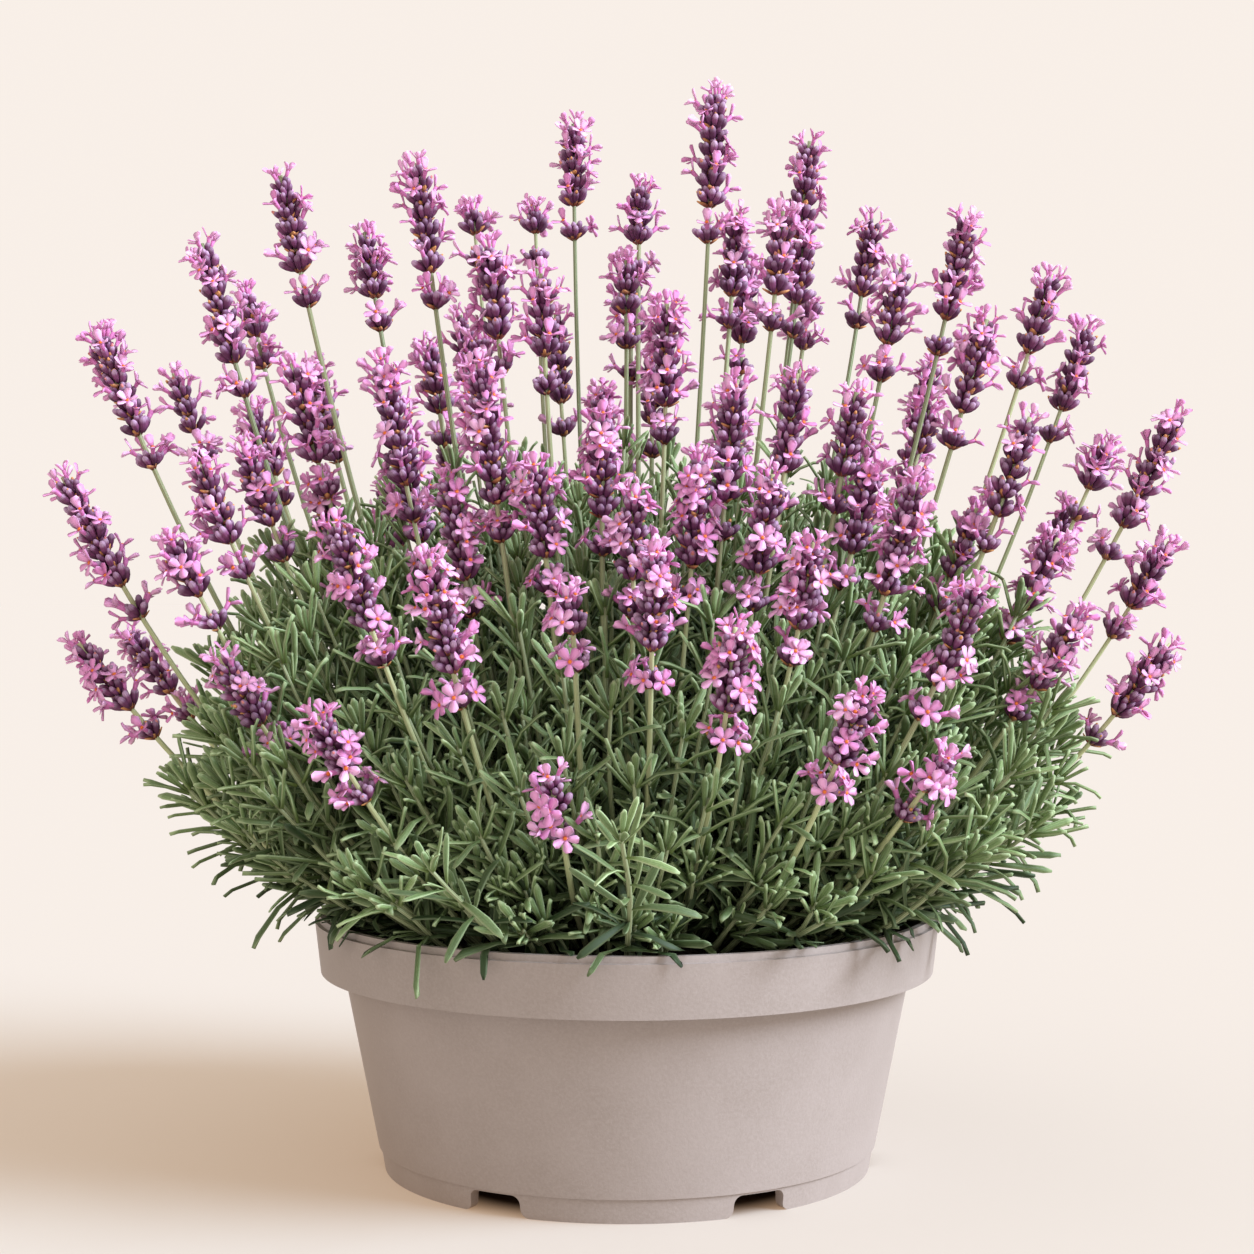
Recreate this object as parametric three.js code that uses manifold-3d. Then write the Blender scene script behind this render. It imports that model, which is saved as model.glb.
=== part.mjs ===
// A potted lavender: flowering stems and leafy shoots that fan out of the soil of a wide
// plastic bowl pot. Millimetres, +Z up. The origin is the middle of the pot's underside, on the
// surface it stands on. -Y is the front, and azimuths turn from the front towards +X.
import * as THREE from 'three';
import { mergeVertices } from 'three/addons/utils/BufferGeometryUtils.js';
import Module from 'manifold-3d';

// Pot
const POT_HEIGHT = 94;
const RIM_RADIUS = 115;
const BAND_HEIGHT = 21;
const BAND_DRAFT = 2.1;
const LIP_HEIGHT = 2.4;
const LIP_SET_BACK = 1.6;
const SHOULDER_SET_BACK = 8.4;
const BODY_DRAFT = 12.6;
const WALL = 2.4;
const FLOOR_THICKNESS = 2.6;
const FOOT_HEIGHT = 8.5;
const FOOT_STEP = 0.8;
const FOOT_DRAFT = 1.5;
const FOOT_WALL = 4;
const EDGE_BEVEL = 0.7;
const NOTCH_COUNT = 6;
const NOTCH_WIDTH = 20;
const NOTCH_HEIGHT = 7.8;
const NOTCH_CORNER = 3;
const DRAIN_COUNT = 6;
const DRAIN_RADIUS = 5;
const DRAIN_RING_RADIUS = 48;
const POT_SIDES = 48;

// Soil, and the sockets that the stems stand in
const HEADSPACE = 8;
const SOIL_DOME = 3;
const SEAT_GAP = 0.3;
const SEAT_DEPTH = 8;
const SEAT_RISE = 3;

// Plant. Every stem follows one fan: its share says how far out it stands, from 0 on the axis
// to about 1, both at the soil and at the full height.
const PLANT_HEIGHT = 403;
const PLANT_SPREAD = 322;
const ROOT_MARGIN = 25;
const FAN_DEPTH = 24;
const FAN_CURVE = 0.45;
const LINE_STEPS = 200;
const STEM_SIDES = 6;
const WOOD_RADIUS = 2;
const STALK_RADIUS = 1.2;
const TIP_RADIUS = 0.8;
const LEAF_SLEEVE_RADIUS = 4.4;
const LEAF_TIER_LENGTH = 19;
const LEAF_TIERS = 2;
const WHORL_RADIUS = 8.2;
const WHORL_WAIST = 4.6;
const WHORL_LENGTH = 13;
const TUFT_RADIUS = 5.2;
const TUFT_LENGTH = 9;
const REMOTE_WHORL_RADIUS = 7.4;
const REMOTE_WHORL_LENGTH = 7;
const REMOTE_GAP = 8;
const FLUTE = 0.3;

// The leaves start a little over the rim, so that nothing leans on the pot.
const LEAF_CLEARANCE = 3;

// Leafy shoots round the rim
const SHOOT_SHARE = 1;
const SHOOT_RADIUS = 1.5;
const LEAF_LENGTH = 26;
const LEAF_WIDTH = 4.4;
const LEAF_THICKNESS = 1.4;
const LEAF_LIFT = 45;
const LEAF_SPACING = 12;
const LEAF_TAPER = 0.4;

// One flowering stem a row: azimuth in degrees, share of the spread, share of the plant's
// height, and the length of its flower spike.
const FLOWER_STEMS = [
  [-10, 0.78, 0.39, 33],
  [-10, 0.51, 0.54, 34],
  [-28, 0.61, 0.57, 60],
  [5, 0.53, 0.575, 54],
  [15, 0.66, 0.51, 50],
  [30, 0.79, 0.46, 47],
  [46, 0.88, 0.405, 35],
  [48, 0.71, 0.545, 57],
  [32, 0.52, 0.58, 50],
  [-43, 0.6, 0.6, 58],
  [-42, 0.81, 0.44, 42],
  [-60, 0.79, 0.485, 47],
  [178, 0.3, 0.86, 52],
  [-72, 0.64, 0.655, 50],
  [-138, 0.9, 0.42, 44],
  [-175, 0.78, 0.5, 46],
  [-37, 0.32, 0.735, 68],
  [-8, 0.25, 0.695, 55],
  [32, 0.28, 0.72, 62],
  [54, 0.51, 0.635, 60],
  [112, 0.8, 0.62, 50],
  [168, 0.88, 0.4, 40],
  [72, 0.79, 0.52, 51],
  [83, 1, 0.487, 52],
  [93, 0.89, 0.58, 48],
  [-83, 1.01, 0.488, 50],
  [-83, 0.84, 0.64, 64],
  [-90, 0.54, 0.856, 65],
  [-94, 0.425, 0.925, 56],
  [-90, 0.255, 0.93, 60],
  [-74, 0.18, 0.855, 54],
  [26, 0.12, 0.795, 56],
  [106, 0.11, 1, 63],
  [90, 0.195, 0.89, 50],
  [90, 0.425, 0.88, 58],
  [90, 0.55, 0.83, 50],
  [90, 0.79, 0.7, 66],
  [-90, 0.71, 0.777, 60],
  [-160, 0.2, 0.99, 52],
  [125, 0.28, 0.97, 58],
  [-120, 0.4, 0.89, 46],
  [155, 0.4, 0.87, 54],
  [-150, 0.5, 0.82, 50],
  [130, 0.6, 0.77, 50],
  [-125, 0.72, 0.72, 50],
  [180, 0.56, 0.7, 50],
  [152, 0.82, 0.57, 48],
  [-152, 0.82, 0.55, 48],
];

// One leafy shoot a row: azimuth in degrees, and the height of its tip over the soil.
const LEAFY_SHOOTS = [
  [0, 50],
  [-24, 36],
  [60, 42],
  [-63, 40],
  [104, 44],
  [-98, 46],
  [134, 40],
  [-132, 42],
  [160, 40],
  [-165, 38],
];

const COLOURS = {
  pot: { color: 0xa99a90, roughness: 0.62, metalness: 0 },
  soil: { color: 0x2e231b, roughness: 0.95, metalness: 0 },
  flower: { color: 0xa873a4, roughness: 0.7, metalness: 0 },
  leaf: { color: 0x6f8a66, roughness: 0.75, metalness: 0 },
};

const wasm = await Module();
wasm.setup();

// Radii and heights that follow from the driving sizes
const bandBottom = POT_HEIGHT - BAND_HEIGHT;
const bandTop = POT_HEIGHT - LIP_HEIGHT;
const bandBottomRadius = RIM_RADIUS - BAND_DRAFT;
const lipRadius = RIM_RADIUS - LIP_SET_BACK;
const shoulderRadius = bandBottomRadius - SHOULDER_SET_BACK;
const bodyBottomRadius = shoulderRadius - BODY_DRAFT;
const footTopRadius = bodyBottomRadius - FOOT_STEP;
const footRadius = footTopRadius - FOOT_DRAFT;
const mouthRadius = lipRadius - WALL;
const bandInnerRadius = bandBottomRadius - WALL;
const ledgeHeight = bandBottom + WALL;
const shoulderInnerRadius = shoulderRadius - WALL;
const floorTop = FOOT_HEIGHT + FLOOR_THICKNESS;
const floorInnerRadius = bodyBottomRadius - WALL;
const soilEdge = POT_HEIGHT - HEADSPACE;
const rootRing = mouthRadius - ROOT_MARGIN;

// The mesh with shared corners merged and the triangles that collapse on the axis left out.
function weld(geometry) {
  geometry.deleteAttribute('normal');
  geometry.deleteAttribute('uv');
  const merged = mergeVertices(geometry, 1e-4);
  const index = merged.index.array;
  const kept = [];
  for (let i = 0; i < index.length; i += 3) {
    const [a, b, c] = index.slice(i, i + 3);
    if (a !== b && b !== c && c !== a) {
      kept.push(a, b, c);
    }
  }
  merged.setIndex(kept);
  return merged;
}

function toSolid(geometry) {
  const welded = weld(geometry);
  const vertProperties = new Float32Array(welded.attributes.position.array);
  const triVerts = new Uint32Array(welded.index.array);
  return new wasm.Manifold(new wasm.Mesh({ numProp: 3, vertProperties, triVerts }));
}

function toGeometry(solid) {
  const mesh = solid.getMesh();
  const geometry = new THREE.BufferGeometry();
  geometry.setAttribute('position', new THREE.BufferAttribute(new Float32Array(mesh.vertProperties), 3));
  geometry.setIndex(Array.from(mesh.triVerts));
  return geometry;
}

// A closed solid turned round the Z axis from an outline of [radius, height] points.
function revolve(outline, sides) {
  const points = outline.map(([radius, height]) => new THREE.Vector2(radius, height));
  const geometry = new THREE.LatheGeometry(points, sides);
  geometry.rotateX(Math.PI / 2);
  return weld(geometry);
}

// A closed skin through rings of equally many points, with a fan over each end.
function loft(rings) {
  const sides = rings[0].length;
  const points = rings.flat();
  const middle = (ring) => ring.reduce((sum, p) => sum.add(p), new THREE.Vector3()).divideScalar(sides);
  const first = points.length;
  const last = first + 1;
  points.push(middle(rings[0]), middle(rings[rings.length - 1]));
  const faces = [];
  for (let k = 0; k < sides; k += 1) {
    const next = (k + 1) % sides;
    faces.push(first, next, k);
    for (let r = 0; r + 1 < rings.length; r += 1) {
      const low = r * sides;
      const high = low + sides;
      faces.push(low + k, low + next, high + next);
      faces.push(low + k, high + next, high + k);
    }
    const end = (rings.length - 1) * sides;
    faces.push(last, end + k, end + next);
  }
  const geometry = new THREE.BufferGeometry();
  geometry.setFromPoints(points);
  geometry.setIndex(faces);
  return geometry;
}

// The line of one stem of the fan, from one height to another.
class FanLine extends THREE.Curve {
  constructor(azimuth, share, bottom, top) {
    super();
    const angle = THREE.MathUtils.degToRad(azimuth);
    this.outward = new THREE.Vector3(Math.sin(angle), -Math.cos(angle), 0);
    this.sideways = new THREE.Vector3(Math.cos(angle), Math.sin(angle), 0);
    this.share = share;
    this.bottom = bottom;
    this.top = top;
  }

  reach(height) {
    const rise = (h) => ((h - soilEdge + FAN_DEPTH) / (PLANT_HEIGHT - soilEdge + FAN_DEPTH)) ** FAN_CURVE;
    const spread = (rise(height) - rise(soilEdge)) / (1 - rise(soilEdge));
    return this.share * THREE.MathUtils.lerp(rootRing, PLANT_SPREAD, spread);
  }

  getPoint(t) {
    const height = THREE.MathUtils.lerp(this.bottom, this.top, t);
    return this.outward.clone().multiplyScalar(this.reach(height)).setZ(height);
  }

  distanceTo(height) {
    const share = (height - this.bottom) / (this.top - this.bottom);
    return this.getLengths(LINE_STEPS)[Math.round(share * LINE_STEPS)];
  }

  // A ring square to the line. A flute draws in every other point, which leaves three lobes.
  ring(distance, radius, flute = 0, turn = 0) {
    const at = THREE.MathUtils.clamp(distance / this.getLength(), 0, 1);
    const centre = this.getPointAt(at);
    const across = this.getTangentAt(at).cross(this.sideways);
    const points = [];
    for (let k = 0; k < STEM_SIDES; k += 1) {
      const angle = (2 * Math.PI * k) / STEM_SIDES + turn;
      const r = radius * (k % 2 ? 1 - flute : 1);
      const point = centre.clone();
      point.addScaledVector(this.sideways, r * Math.cos(angle));
      point.addScaledVector(across, r * Math.sin(angle));
      points.push(point);
    }
    return points;
  }
}

// The height of the soil under a point that far from the axis.
function soilHeight(radius) {
  return soilEdge + SOIL_DOME * (1 - (radius / bandInnerRadius) ** 2);
}

function stemFoot(share) {
  return soilHeight(share * rootRing) - SEAT_DEPTH;
}

// The straight woody stretch that stands in the soil and ends a little over it.
function seatRings(line, share, radius) {
  const top = line.distanceTo(soilHeight(share * rootRing) + SEAT_RISE);
  return [line.ring(0, radius), line.ring(top, radius)];
}

function makePot() {
  const outline = [
    [0, FOOT_HEIGHT],
    [footRadius - FOOT_WALL, FOOT_HEIGHT],
    [footRadius - FOOT_WALL, 0],
    [footRadius - EDGE_BEVEL, 0],
    [footRadius, EDGE_BEVEL],
    [footTopRadius, FOOT_HEIGHT],
    [bodyBottomRadius, FOOT_HEIGHT],
    [shoulderRadius, bandBottom],
    [bandBottomRadius - EDGE_BEVEL, bandBottom],
    [bandBottomRadius, bandBottom + EDGE_BEVEL],
    [RIM_RADIUS, bandTop],
    [lipRadius, bandTop + EDGE_BEVEL],
    [lipRadius, POT_HEIGHT - EDGE_BEVEL],
    [lipRadius - EDGE_BEVEL, POT_HEIGHT],
    [mouthRadius, POT_HEIGHT],
    [bandInnerRadius, ledgeHeight],
    [shoulderInnerRadius, ledgeHeight],
    [floorInnerRadius, floorTop],
    [0, floorTop],
  ];
  let pot = toSolid(revolve(outline, POT_SIDES));
  for (let k = 0; k < NOTCH_COUNT / 2; k += 1) {
    pot = pot.subtract(toSolid(notchBar(((k + 0.5) * 2 * Math.PI) / NOTCH_COUNT)));
  }
  for (let k = 0; k <= DRAIN_COUNT; k += 1) {
    pot = pot.subtract(toSolid(drainHole(k)));
  }
  return toGeometry(pot);
}

// A bar with rounded upper corners that cuts two opposite notches through the foot ring.
function notchBar(azimuth) {
  const half = NOTCH_WIDTH / 2;
  const shape = new THREE.Shape();
  shape.moveTo(-half, -1);
  shape.lineTo(half, -1);
  shape.lineTo(half, NOTCH_HEIGHT - NOTCH_CORNER);
  shape.absarc(half - NOTCH_CORNER, NOTCH_HEIGHT - NOTCH_CORNER, NOTCH_CORNER, 0, Math.PI / 2);
  shape.absarc(NOTCH_CORNER - half, NOTCH_HEIGHT - NOTCH_CORNER, NOTCH_CORNER, Math.PI / 2, Math.PI);
  shape.closePath();
  const length = 2 * RIM_RADIUS;
  const bar = new THREE.ExtrudeGeometry(shape, { depth: length, bevelEnabled: false, curveSegments: 3 });
  bar.translate(0, 0, -length / 2);
  bar.rotateX(Math.PI / 2);
  bar.rotateZ(azimuth);
  return bar;
}

// Hole 0 is in the middle of the floor, and the others stand in a ring round it.
function drainHole(k) {
  const hole = new THREE.CylinderGeometry(DRAIN_RADIUS, DRAIN_RADIUS, 4 * FLOOR_THICKNESS, 12);
  const angle = (2 * Math.PI * k) / DRAIN_COUNT;
  const out = k === 0 ? 0 : DRAIN_RING_RADIUS;
  hole.rotateX(Math.PI / 2);
  hole.translate(out * Math.cos(angle), out * Math.sin(angle), FOOT_HEIGHT + FLOOR_THICKNESS / 2);
  return hole;
}

// The socket that a stem stands in: the stem's own foot, made larger by the seat gap.
function makeSocket(azimuth, share) {
  const line = new FanLine(azimuth, share, stemFoot(share) - SEAT_GAP, POT_HEIGHT);
  const wide = (WOOD_RADIUS + SEAT_GAP) / Math.cos(Math.PI / STEM_SIDES);
  return toSolid(loft(seatRings(line, share, wide)));
}

// The soil fills the pot, with the seat gap to its floor, wall and ledge.
function makeSoil() {
  const domePoints = [0.75, 0.5, 0.25].map((k) => k * (bandInnerRadius - SEAT_GAP));
  const outline = [
    [0, floorTop + SEAT_GAP],
    [floorInnerRadius - SEAT_GAP, floorTop + SEAT_GAP],
    [shoulderInnerRadius - SEAT_GAP, ledgeHeight],
    [shoulderInnerRadius - SEAT_GAP, ledgeHeight + SEAT_GAP],
    [bandInnerRadius - SEAT_GAP, ledgeHeight + SEAT_GAP],
    [bandInnerRadius - SEAT_GAP, soilEdge],
    ...domePoints.map((radius) => [radius, soilHeight(radius)]),
    [0, soilHeight(0)],
  ];
  let soil = toSolid(revolve(outline, POT_SIDES));
  for (const [azimuth, share] of FLOWER_STEMS) {
    soil = soil.subtract(makeSocket(azimuth, share));
  }
  for (const [azimuth] of LEAFY_SHOOTS) {
    soil = soil.subtract(makeSocket(azimuth, SHOOT_SHARE));
  }
  return toGeometry(soil);
}

// A flowering stem: a woody foot, as many tiers of leaves as a short stem has room for, a bare
// stalk, one whorl of flowers standing apart, and the spike with its tuft on top.
function makeFlowerStem([azimuth, share, heightShare, spikeLength]) {
  const line = new FanLine(azimuth, share, stemFoot(share), heightShare * PLANT_HEIGHT);
  const length = line.getLength();
  const spikeStart = length - spikeLength;
  const rings = seatRings(line, share, WOOD_RADIUS);
  const leavesStart = line.distanceTo(POT_HEIGHT + LEAF_CLEARANCE);
  const tiers = Math.min(LEAF_TIERS, Math.floor((spikeStart - leavesStart) / LEAF_TIER_LENGTH));
  for (let tier = 0; tier < tiers; tier += 1) {
    const start = leavesStart + tier * LEAF_TIER_LENGTH;
    rings.push(line.ring(start + LEAF_TIER_LENGTH * 0.55, LEAF_SLEEVE_RADIUS, 2 * FLUTE));
    rings.push(line.ring(start + LEAF_TIER_LENGTH, STALK_RADIUS));
  }
  rings.push(line.ring(spikeStart, STALK_RADIUS));
  rings.push(line.ring(spikeStart + REMOTE_WHORL_LENGTH * 0.6, REMOTE_WHORL_RADIUS, FLUTE));
  rings.push(line.ring(spikeStart + REMOTE_WHORL_LENGTH, STALK_RADIUS));
  const bodyStart = spikeStart + REMOTE_WHORL_LENGTH + REMOTE_GAP;
  const bodyLength = length - TUFT_LENGTH - bodyStart;
  const whorls = Math.max(1, Math.round(bodyLength / WHORL_LENGTH));
  const step = bodyLength / whorls;
  rings.push(line.ring(bodyStart, STALK_RADIUS));
  for (let whorl = 0; whorl < whorls; whorl += 1) {
    const narrowing = 1 - (0.3 * whorl) / whorls;
    const turn = (whorl % 2) * (Math.PI / STEM_SIDES);
    rings.push(line.ring(bodyStart + (whorl + 0.5) * step, WHORL_RADIUS * narrowing, FLUTE, turn));
    rings.push(line.ring(bodyStart + (whorl + 0.98) * step, WHORL_WAIST * narrowing, 0, turn));
  }
  rings.push(line.ring(length - TUFT_LENGTH * 0.3, TUFT_RADIUS, 2 * FLUTE));
  rings.push(line.ring(length, TIP_RADIUS));
  return loft(rings);
}

// A leaf blade lying along +X from its root at the origin.
function leafBlade(length) {
  const section = (x, width) => {
    const half = (LEAF_WIDTH * width) / 2;
    const thick = (LEAF_THICKNESS * width) / 2;
    return [
      new THREE.Vector3(x, half, 0),
      new THREE.Vector3(x, 0, thick),
      new THREE.Vector3(x, -half, 0),
      new THREE.Vector3(x, 0, -thick),
    ];
  };
  return loft([section(0, 0.45), section(length * 0.65, 1), section(length, 0.25)]);
}

// A leafy shoot: a short woody stem with opposite pairs of leaves, each pair a quarter turn
// on from the one below.
function makeLeafyShoot([azimuth, height]) {
  const line = new FanLine(azimuth, SHOOT_SHARE, stemFoot(SHOOT_SHARE), soilEdge + height);
  const length = line.getLength();
  const leavesStart = line.distanceTo(POT_HEIGHT + LEAF_CLEARANCE);
  const stem = seatRings(line, SHOOT_SHARE, WOOD_RADIUS);
  stem.push(line.ring(leavesStart, SHOOT_RADIUS), line.ring(length, TIP_RADIUS));
  let shoot = toSolid(loft(stem));
  const lift = THREE.MathUtils.degToRad(LEAF_LIFT);
  const pairs = Math.floor((length - leavesStart) / LEAF_SPACING);
  for (let pair = 0; pair <= pairs; pair += 1) {
    const at = (length - (pairs - pair) * LEAF_SPACING - TIP_RADIUS) / length;
    const along = line.getTangentAt(at);
    const across = along.clone().cross(line.sideways);
    for (const side of [1, -1]) {
      const away = (pair % 2 ? across : line.sideways).clone().multiplyScalar(side);
      const pointing = away.clone().multiplyScalar(Math.cos(lift)).addScaledVector(along, Math.sin(lift));
      const edge = away.clone().cross(along);
      const face = pointing.clone().cross(edge);
      const blade = leafBlade(LEAF_LENGTH * (1 - (LEAF_TAPER * pair) / (pairs + 1)));
      const place = new THREE.Matrix4().makeBasis(pointing, edge, face);
      blade.applyMatrix4(place.setPosition(line.getPointAt(at)));
      shoot = shoot.add(toSolid(blade));
    }
  }
  return toGeometry(shoot);
}

function named(name, geometry, colour) {
  geometry.computeVertexNormals();
  const mesh = new THREE.Mesh(geometry, new THREE.MeshStandardMaterial(colour));
  mesh.name = name;
  return mesh;
}

function numbered(name, k) {
  return `${name}_${String(k + 1).padStart(2, '0')}`;
}

const lavender = new THREE.Group();
lavender.name = 'potted_lavender';
lavender.add(named('pot', makePot(), COLOURS.pot));
lavender.add(named('soil', makeSoil(), COLOURS.soil));
FLOWER_STEMS.forEach((row, k) => {
  lavender.add(named(numbered('flower_stem', k), makeFlowerStem(row), COLOURS.flower));
});
LEAFY_SHOOTS.forEach((row, k) => {
  lavender.add(named(numbered('leafy_shoot', k), makeLeafyShoot(row), COLOURS.leaf));
});

export default lavender;
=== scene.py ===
"""A potted lavender: flowering stems and leafy shoots that fan out of the soil of a bowl pot."""

import math

import bmesh
import bpy
import numpy as np
from bpy.props import FloatProperty, FloatVectorProperty, IntProperty, PointerProperty
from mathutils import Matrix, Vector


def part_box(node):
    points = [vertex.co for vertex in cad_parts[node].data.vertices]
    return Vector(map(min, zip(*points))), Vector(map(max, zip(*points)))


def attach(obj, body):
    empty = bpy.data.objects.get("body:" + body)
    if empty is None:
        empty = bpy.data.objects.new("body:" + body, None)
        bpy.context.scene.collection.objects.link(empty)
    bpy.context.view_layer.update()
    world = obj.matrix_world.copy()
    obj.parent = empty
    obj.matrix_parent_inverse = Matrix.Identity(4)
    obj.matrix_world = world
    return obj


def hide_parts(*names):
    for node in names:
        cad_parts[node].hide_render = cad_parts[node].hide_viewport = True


bl_info = {
    "name": "Potted Lavender",
    "version": (1, 0, 0),
    "blender": (4, 5, 0),
    "location": "3D View > Sidebar > Lavender",
    "description": "Builds a lavender in its pot around the packed model",
    "category": "Add Mesh",
}

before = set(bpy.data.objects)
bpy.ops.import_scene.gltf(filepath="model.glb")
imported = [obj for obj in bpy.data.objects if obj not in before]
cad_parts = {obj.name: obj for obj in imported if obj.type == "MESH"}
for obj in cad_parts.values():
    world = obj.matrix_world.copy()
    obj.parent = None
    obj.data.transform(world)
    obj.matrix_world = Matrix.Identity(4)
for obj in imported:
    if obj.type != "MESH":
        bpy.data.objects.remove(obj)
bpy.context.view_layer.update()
UP = np.array([0.0, 0.0, 1.0])

# The map that all leaves and flowers share is a grid of cells. Each finish has a band of it, from
# a lowest to a highest V, and each of its tones is a column, with a margin on either side.
MAP_NAME = "OFBake"
TONES = 8
TONE_MARGIN = 0.1
BANDS = {
    "leaf": (0.02, 0.30),
    "stalk": (0.34, 0.46),
    "calyx": (0.50, 0.66),
    "petal": (0.70, 0.90),
    "bract": (0.93, 0.985),
}

# The turn from one shoot to the next that spreads any number of them evenly, in degrees
EVEN_TURN = 137.508

# The height at which stems clear the rim and may bear leaves
CLEAR_OF_RIM = 0.097

# The distance from one whorl of a flower spike to the next, about
WHORL_SPACING = 0.0055

# The length of the spike of each packed stem, in mm
SPIKES = [
    33, 34, 60, 54, 50, 47, 35, 57, 50, 58, 42, 47, 52, 50, 44, 46, 68, 55, 62, 60, 50, 40, 51, 52,
    48, 50, 64, 65, 56, 60, 54, 56, 63, 50, 58, 50, 66, 60, 52, 58, 46, 54, 50, 50, 50, 50, 48, 48,
]

# More flowering stems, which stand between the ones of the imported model. For each: azimuth in
# degrees from the front, share of the spread, share of the height, and length of the spike in mm.
MORE_STEMS = [
    (-72, 0.73, 0.585, 42), (-63, 0.36, 0.74, 64), (73, 0.58, 0.69, 56), (81, 0.68, 0.59, 48),
    (-76, 0.46, 0.745, 56), (-75, 0.56, 0.67, 49), (48, 0.305, 0.73, 54), (56, 0.37, 0.71, 49),
    (-46, 0.15, 0.825, 49), (84, 0.35, 0.835, 48), (80, 0.475, 0.785, 54), (175, 0.22, 0.94, 44),
    (-178, 0.125, 0.855, 40), (105, 0.67, 0.79, 54), (102, 0.745, 0.68, 38),
    (-120, 0.62, 0.835, 39), (-113, 0.73, 0.755, 45), (-111, 0.295, 0.77, 46),
    (-150, 0.41, 0.93, 31), (-160, 0.375, 0.93, 31), (153, 0.33, 0.915, 54), (132, 0.44, 0.91, 52),
    (145, 0.46, 0.83, 24), (128, 0.6, 0.717, 38), (-106, 1, 0.495, 50), (-70, 0.341, 0.68, 60),
    (-47, 0.354, 0.639, 56), (-24, 0.308, 0.648, 52), (1, 0.327, 0.628, 50), (19, 0.295, 0.653, 58),
    (36, 0.35, 0.638, 54), (60, 0.401, 0.65, 52), (77, 0.542, 0.615, 46), (-80, 0.467, 0.637, 48),
]


# Shapes


class Form:
    """A closed shape that is repeated: its points, their places on the map, and its faces."""

    def __init__(self, points, places, quads, triangles):
        self.points = np.asarray(points, float)
        self.places = np.asarray(places, float)
        self.quads = np.asarray(quads, int).reshape(-1, 4)
        self.triangles = np.asarray(triangles, int).reshape(-1, 3)


def loft(rings, across, along):
    """A closed skin through rings of equally many points, with a fan over each end."""
    rings = np.asarray(rings, float)
    count, sides = rings.shape[:2]
    points = np.vstack([rings.reshape(-1, 3), rings[0].mean(0), rings[-1].mean(0)])
    places = [(u, v) for v in along for u in across] + [(0.5, along[0]), (0.5, along[-1])]
    around = np.arange(sides)
    after = (around + 1) % sides
    strip = np.column_stack([around, after, after + sides, around + sides])
    quads = [strip + r * sides for r in range(count - 1)]
    first, last, end = count * sides, count * sides + 1, (count - 1) * sides
    low = np.column_stack([after, around, np.full(sides, first)])
    high = np.column_stack([around + end, after + end, np.full(sides, last)])
    return Form(points, places, np.vstack(quads), np.vstack([low, high]))


def joined(forms):
    """Several forms as one."""
    starts = np.cumsum([0] + [len(f.points) for f in forms[:-1]])
    return Form(
        np.vstack([f.points for f in forms]),
        np.vstack([f.places for f in forms]),
        np.vstack([f.quads + s for f, s in zip(forms, starts)]),
        np.vstack([f.triangles + s for f, s in zip(forms, starts)]),
    )


def there_and_back(sides):
    """How far across the map each point of a closed ring lies, from 0 to 1 and back again."""
    turn = np.arange(sides) / sides
    return 1 - np.abs(2 * turn - 1)


def turned(profile, sides):
    """A closed shape turned round X from (distance, radius) pairs."""
    angle = 2 * np.pi * np.arange(sides) / sides
    rings = [
        np.column_stack([np.full(sides, x), r * np.cos(angle), r * np.sin(angle)])
        for x, r in profile
    ]
    length = profile[-1][0] - profile[0][0]
    return loft(rings, there_and_back(sides), [(x - profile[0][0]) / length for x, r in profile])


def blade(length, width, thick, outline, section):
    """A leaf, petal or bract along +X. Its section holds (across, height) points over the top from
    edge to edge, in half widths, and closes on one point under the midrib."""
    rings = []
    for along, wide in outline:
        half = width * wide / 2
        top = [(along * length, half * y, half * z) for y, z in section]
        rings.append([*top, (along * length, 0, half * section[len(section) // 2][1] - thick)])
    across = [(y + 1) / 2 for y, z in section] + [0.5]
    return loft(rings, across, [along for along, wide in outline])


def unit(vectors):
    """The same directions, each of length 1."""
    return vectors / np.linalg.norm(vectors, axis=-1, keepdims=True)


def leaning(way, away, lean):
    """Directions that lean off a way towards another, by an angle each."""
    return np.cos(lean)[:, None] * way + np.sin(lean)[:, None] * away


def rest_on_pot(points):
    """The heights of points. Those that would sink into the soil or the wall are laid over them,
    and keep a little of their spread."""
    pot, soil = bpy.context.scene.lavender_pot, bpy.context.scene.lavender_plant.soil_height
    out, height = np.hypot(points[..., 0], points[..., 1]), points[..., 2]
    inner, outer, top = pot.rim_radius - 0.006, pot.rim_radius + 0.0015, pot.height + 0.002
    distances = [inner - 0.012, inner, outer, outer + 0.02]
    least = np.interp(out, distances, [soil + 0.002, top, top, top - 0.03])
    return np.maximum(height, least + 0.12 * (height - least))


def near_tone(chance, middle, spread, count=None):
    """Tones drawn round a middle one."""
    return np.clip(np.round(chance.normal(middle, spread, count)), 0, TONES - 1)


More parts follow.
